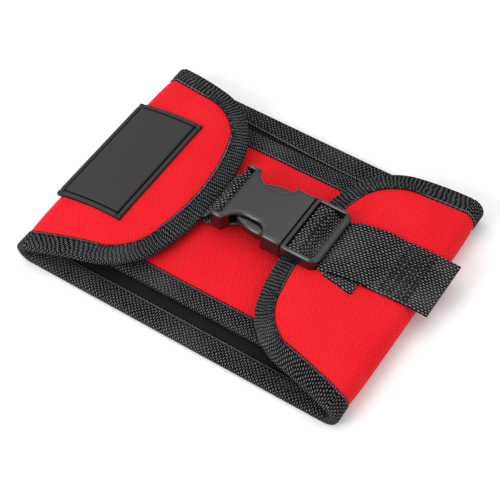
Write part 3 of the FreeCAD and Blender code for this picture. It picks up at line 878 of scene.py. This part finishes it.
def seam_stitches():
    """The seams that hold the tapes down, just inside each tape's inner edge."""
    inset = TAPE - SEAM_INSET
    for side, name in SIDES:
        line = [on_flap(side, x, y, TAPE_PROUD + 0.05) for x, y in flap_edge(inset) if x < FLAP_START]
        row = stitch_row(f"{name}_flap_stitches", line, flap_normal(side))
        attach(row, f"{name}_flap")
    for end, far in (("near", -1), ("far", 1)):
        y, top = (PAD_HALF - PAD_TAPE + SEAM_INSET) * far, PAD_TOP + 0.2
        line = [(x, y, top) for x in spread(-PAD_END, PAD_END, 4)]
        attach(stitch_row(f"inner_pad_stitches_{end}", line, straight_up), "back")
        y, top = (HALF_WIDTH - TAPE + SEAM_INSET) * far, THICKNESS + 0.1
        line = [(x, y, top) for x in spread(-FOLD_X, FOLD_X, 4)]
        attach(stitch_row(f"back_stitches_{end}", line, straight_up), "back")


# ---- label


LABEL_RISE = 1.8
LABEL_GAP = 0.05
# the rim and its groove: how far in from the edge, the share of the rise there, and how much shade is
# painted there
RIM = (0.0, 0.12, 0.4, 0.9, 1.55, 1.7, 2.2, 2.35, 3.2)
RIM_LIFT = (0.55, 0.86, 0.97, 1.0, 1.0, 0.62, 0.62, 0.95, 0.95)
RIM_SHADE = (0.6, 0.2, 0.0, 0.0, 0.1, 1.0, 1.0, 0.1, 0.0)


def make_label():
    """A blank rubber label with rounded edges and a groove inside its rim."""
    low, high = cad_mm("label_patch")
    first_x, last_x = -high.x, ARC_X + (-low.x - ARC_X) * ARC / (ARC + LABEL_RISE)

    def cuts(start, stop):
        inner = spread(start + 5, stop - 5, 1.6)
        return [start + e for e in RIM] + list(inner) + [stop - e for e in reversed(RIM)]

    def share(place, start, stop):
        return np.interp(min(place - start, stop - place), RIM, RIM_LIFT)

    ys, xs = cuts(low.y, high.y), cuts(first_x, last_x)
    stations, weave = [], []
    for x in xs:
        lifts = [LABEL_RISE * min(share(x, first_x, last_x), share(y, low.y, high.y)) for y in ys]
        top = [on_plain_flap(LEFT, x, y, LABEL_GAP + lift) for y, lift in zip(ys, lifts)]
        bottom = [on_plain_flap(LEFT, x, y, LABEL_GAP) for y in reversed(ys)]
        stations.append(top + bottom)
        near = [min(x - first_x, last_x - x, y - low.y, high.y - y) for y in ys]
        # the third place is the shade painted in the groove and along the label's outer edge
        marks = [(x, y, float(np.interp(n, RIM, RIM_SHADE))) for y, n in zip(ys, near)]
        weave.append(marks + marks[::-1])
    label = dress(sweep("label", stations, weave), RUBBER)
    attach(label, "left_flap")
    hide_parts("label_patch")


# ---- webbing


# half of a webbing's section as (place across it, share of its thickness there)
SECTION = ((-1, 0.35), (-0.97, 0.8), (-0.9, 1.0), (-0.6, 1.0), (-0.3, 1.0), (0, 1.0))
SECTION += tuple((-across, thin) for across, thin in SECTION[-2::-1])


def ribbon(name, path, centre_at, half_at, thickness=WEBBING, start=0.0):
    """Webbing along a path of (x, z): its section is a flat bar with rounded sides. start is the place
    along the webbing at which the piece begins."""
    path = [np.array(p, float) for p in path]
    stations, weave = [], []
    along = start
    for index, here in enumerate(path):
        before, after = path[max(index - 1, 0)], path[min(index + 1, len(path) - 1)]
        ahead = (after - before) / np.linalg.norm(after - before)
        up = np.array((-ahead[1], ahead[0]))
        if index:
            along += np.linalg.norm(here - path[index - 1])
        centre, half = centre_at(here[0]), half_at(here[0])
        ring, marks = [], []
        for direction in (1, -1):
            for across, thin in SECTION:
                y = across * direction
                point = here + up * (thickness / 2 * thin * direction)
                ring.append((point[0], centre + half * y, point[1]))
                marks.append((along, half * y))
        stations.append(ring)
        weave.append(marks)
    return dress(sweep(name, stations, weave), WEBBED)


def smooth_path(corners, step):
    """An even path through the corners, with its turns softened."""
    corners = [np.array(c, float) for c in corners]
    lengths = np.cumsum([0] + [np.linalg.norm(b - a) for a, b in zip(corners, corners[1:])])
    places = spread(0, lengths[-1], step)
    path = [np.array([np.interp(p, lengths, [c[k] for c in corners]) for k in range(2)]) for p in places]
    for _ in range(2):
        inner = [(a + b * 2 + c) / 4 for a, b, c in zip(path, path[1:], path[2:])]
        path = [path[0]] + inner + [path[-1]]
    return path


def flap_height(x, lift):
    """The height of a point that stands off the right flap's face."""
    radius = ARC + lift
    return ARC_Z + math.sqrt(radius**2 - (x - ARC_X) ** 2)


# the webbing is squeezed in the buckle, and is its full width from WIDE_X on
SQUEEZED = (cad_mm("strap_loop")[1].y - cad_mm("strap_loop")[0].y) / 2
FULL = 12.4
NARROW_X, WIDE_X = 31.8, 34.5
# the strap and its tail slant off to these places across, at their own ends
STRAP_END_Y, TAIL_END_Y = 10.4, 1.0
STRAP_START = cad_mm("strap_free")[0].x
LANDING = cad_mm("strap_free")[1].x
TAIL_END = cad_mm("strap_tail")[1].x
# the gaps under the sewn strap, under the tail, and under the free strap that lies on the tail
STRAP_LIFT = 0.55
TAIL_LIFT = 0.35
FREE_LIFT = TAIL_LIFT + WEBBING + 0.2
# the free strap leaves its tail this far before the tail's end, to come down to the flap
RAMP = 1.5
STATION = 0.8
# the loop reaches this far past its CAD box, towards the seam of the buckle's two halves
LOOP_REACH = 2.0


def slanted(end_x, end_y):
    """The middle of a webbing that slants off from the buckle to a place at its own end."""
    slant = (end_y - BUCKLE_Y) / (end_x - NARROW_X)
    return lambda x: BUCKLE_Y + max(0.0, x - NARROW_X) * slant


def in_buckle(x):
    return BUCKLE_Y


def squeezed(x):
    return SQUEEZED


def strap_half(x):
    return np.interp(x, (NARROW_X, WIDE_X), (SQUEEZED, FULL))


strap_centre = slanted(STRAP_END, STRAP_END_Y)


def blend_webbing(piece, flap_x):
    """Bakes a piece's placement into its mesh."""
    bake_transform(piece)


def make_strap():
    """The strap: sewn on the right flap, over its own tail, under the end bar and round the ladder bar."""
    half = WEBBING / 2
    sewn_path = [(x, flap_height(x, STRAP_LIFT + half)) for x in spread(LANDING, STRAP_END, STATION)]
    sewn = ribbon("strap_sewn_webbing", sewn_path, strap_centre, strap_half, start=LANDING)
    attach(sewn, "right_flap")
    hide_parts("strap_sewn")

    ramp_x = TAIL_END - RAMP
    ramp_from, ramp_to = flap_height(ramp_x, FREE_LIFT + half), flap_height(LANDING, STRAP_LIFT + half)
    free_path = [(x, flap_height(x, FREE_LIFT + half)) for x in spread(STRAP_START, ramp_x, STATION)]
    for x in spread(ramp_x + STATION, LANDING, STATION):
        down = smooth((x - ramp_x) / (LANDING - ramp_x))
        free_path.append((x, ramp_from + (ramp_to - ramp_from) * down))
    free = ribbon("strap_free_webbing", free_path, strap_centre, strap_half, start=STRAP_START)
    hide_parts("strap_free")

    tail_path = [(x, flap_height(x, TAIL_LIFT + half)) for x in spread(STRAP_START, TAIL_END, STATION)]
    tail = ribbon("strap_tail_webbing", tail_path, slanted(TAIL_END, TAIL_END_Y), strap_half)
    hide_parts("strap_tail")
    for piece in (free, tail):
        blend_webbing(piece, LANDING)

    loop_low, loop_high = cad_mm("strap_loop")
    left, top = loop_low.x + half - LOOP_REACH, loop_high.z - half
    free_z, tail_z = (flap_height(STRAP_START, lift + half) for lift in (FREE_LIFT, TAIL_LIFT))
    loop_path = smooth_path(
        [
            (STRAP_START, free_z),
            (STRAP_START - 1.4, free_z + 0.1),
            (STRAP_START - 2.6, top - 1.1),
            (STRAP_START - 3.5, top),
            (left + 0.4, top),
            (left, top - 0.5),
            (left + 0.2, loop_low.z + 1.2),
            (left + 1.4, loop_low.z + half),
            (STRAP_START, tail_z),
        ],
        step=0.35,
    )
    loop = ribbon("strap_loop_webbing", loop_path, in_buckle, squeezed)
    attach(loop, "buckle_male")
    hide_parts("strap_loop")


def strap_stitches():
    """Four double rows of stitching where the strap is sewn to the flap, and one on its loop."""
    rows = []
    for row in range(4):
        for pair in (-0.55, 0.55):
            x = LANDING + 1.2 + row * 2.7 + pair
            centre, half = strap_centre(x), FULL - 0.9
            ys = spread(centre - half, centre + half, 2)
            line = [on_flap(RIGHT, x, y, STRAP_LIFT + WEBBING + 0.02) for y in ys]
            rows.append(stitch_row(f"row{row}{pair}", line, flap_normal(RIGHT), 1.5, 0.2, 0.3))
    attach(join("strap_stitches", rows), "right_flap")
    top = cad_mm("strap_loop")[1].z
    rows = []
    for x in (STRAP_START - 3.9, STRAP_START - 4.5):
        ys = spread(BUCKLE_Y - SQUEEZED + 0.8, BUCKLE_Y + SQUEEZED - 0.8, 2)
        line = [(x, y, top) for y in ys]
        rows.append(stitch_row(f"loop{x}", line, straight_up, 1.5, 0.2, 0.25))
    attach(join("loop_stitches", rows), "buckle_male")


# the socket half's bar, which the short webbing goes round
BAR_X, BAR_Z = -10.8, 14.4
BAR_RADIUS = 1.2


def make_female_webbing():
    """The short webbing from under the left flap's nose, over the bar and back."""
    radius = BAR_RADIUS + WEBBING / 2 + 0.05
    nose = cad_mm("female_webbing")[0].x - 1.2
    nose_top = ARC_Z + ARC * math.cos(SLOPE) - 0.6
    path = [(nose, nose_top - 2.2), (nose + 2.4, nose_top - 1.9)]
    for degrees in range(-50, 151, 20):
        angle = math.radians(degrees)
        path.append((BAR_X + radius * math.cos(angle), BAR_Z + radius * math.sin(angle)))
    path += [(nose + 1.9, nose_top + 1.2), (nose, nose_top)]
    path = smooth_path(path, step=0.4)
    webbing = ribbon("female_webbing_loop", path, in_buckle, squeezed, thickness=1.0)
    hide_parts("female_webbing")
    blend_webbing(webbing, nose)


# ---- buckle


def make_buckle():
    """The moulded parts are the frame's own, with their edges softened."""
    for node, width in (("buckle_female", 0.7), ("buckle_male", 0.7), ("arm_near", 0.5), ("arm_far", 0.5)):
        part = frame["nodes"][node]
        dress(part, PLASTIC)
        weld = part.modifiers.new("weld", "WELD")
        weld.merge_threshold = 0.01 * MM
        bevel = part.modifiers.new("soft_edges", "BEVEL")
        bevel.width = width * MM
        bevel.segments = 3
        bevel.limit_method = "ANGLE"
        bevel.angle_limit = math.radians(40)
        bevel.harden_normals = True


# ---- stage


CAMERA_AZIMUTH, CAMERA_ELEVATION = math.radians(32.82), math.radians(52.56)
CAMERA_DISTANCE = 514.3
CAMERA_TARGET = Vector((1.73, -4.62, 0))
CAMERA_LENS, CAMERA_SENSOR = 104.4, 36
# each lamp's name, place and size in metres, and power in watts
LAMPS = (
    ("key", (-0.55, -0.05, 0.75), 1.0, 2.9),
    ("front", (-0.33, -0.78, 0.50), 0.45, 5.6),
    ("fill", (0.7, -0.2, 0.45), 0.8, 1.5),
    ("top", (0.05, 0.2, 1.0), 1.2, 3.0),
)
AMBIENT = 0.6
FLOOR_HALF = 3.0
FLOOR_TONE = 0.9


def stand(name, data):
    """An object put in the scene."""
    made = bpy.data.objects.new(name, data)
    bpy.context.scene.collection.objects.link(made)
    return made


def make_stage():
    """The camera, soft light from four sides, and a pale floor."""
    flat = math.cos(CAMERA_ELEVATION)
    sideways, backwards = math.sin(CAMERA_AZIMUTH) * flat, math.cos(CAMERA_AZIMUTH) * flat
    back = Vector((sideways, -backwards, math.sin(CAMERA_ELEVATION)))
    camera = stand("camera", bpy.data.cameras.new("camera"))
    camera.location = (CAMERA_TARGET + back * CAMERA_DISTANCE) * MM
    camera.rotation_euler = back.to_track_quat("Z", "Y").to_euler()
    camera.data.lens = CAMERA_LENS
    camera.data.sensor_width = CAMERA_SENSOR
    camera.data.clip_start = 0.01
    bpy.context.scene.camera = camera
    for name, place, size, power in LAMPS:
        lamp = stand(name, bpy.data.lights.new(name, "AREA"))
        lamp.data.size = size
        lamp.data.energy = power
        lamp.location = place
        lamp.rotation_euler = Vector(place).to_track_quat("Z", "Y").to_euler()
    world = bpy.data.worlds.new("studio")
    world.use_nodes = True
    background = world.node_tree.nodes["Background"]
    background.inputs[0].default_value = (1, 1, 1, 1)
    background.inputs[1].default_value = AMBIENT
    bpy.context.scene.world = world
    bpy.context.scene.view_settings.view_transform = "Standard"
    mesh = bpy.data.meshes.new("floor")
    corners = [(x * FLOOR_HALF, y * FLOOR_HALF, 0) for x, y in ((-1, -1), (1, -1), (1, 1), (-1, 1))]
    mesh.from_pydata(corners, [], [(0, 1, 2, 3)])
    paper, _, shader = new_material("floor")
    shader.inputs["Base Color"].default_value = (FLOOR_TONE, FLOOR_TONE, FLOOR_TONE, 1)
    shader.inputs["Roughness"].default_value = 0.9
    mesh.materials.append(paper)
    stand("floor", mesh)


make_stage()
back_panels()
inner_panel()
straight_tapes()
for side, name in SIDES:
    flap_panels(side, name)
    fold_panels(side, name)
    flap_tape(side, name)
    fold_tapes(side, name)
seam_stitches()
make_label()
make_strap()
strap_stitches()
make_female_webbing()
make_buckle()
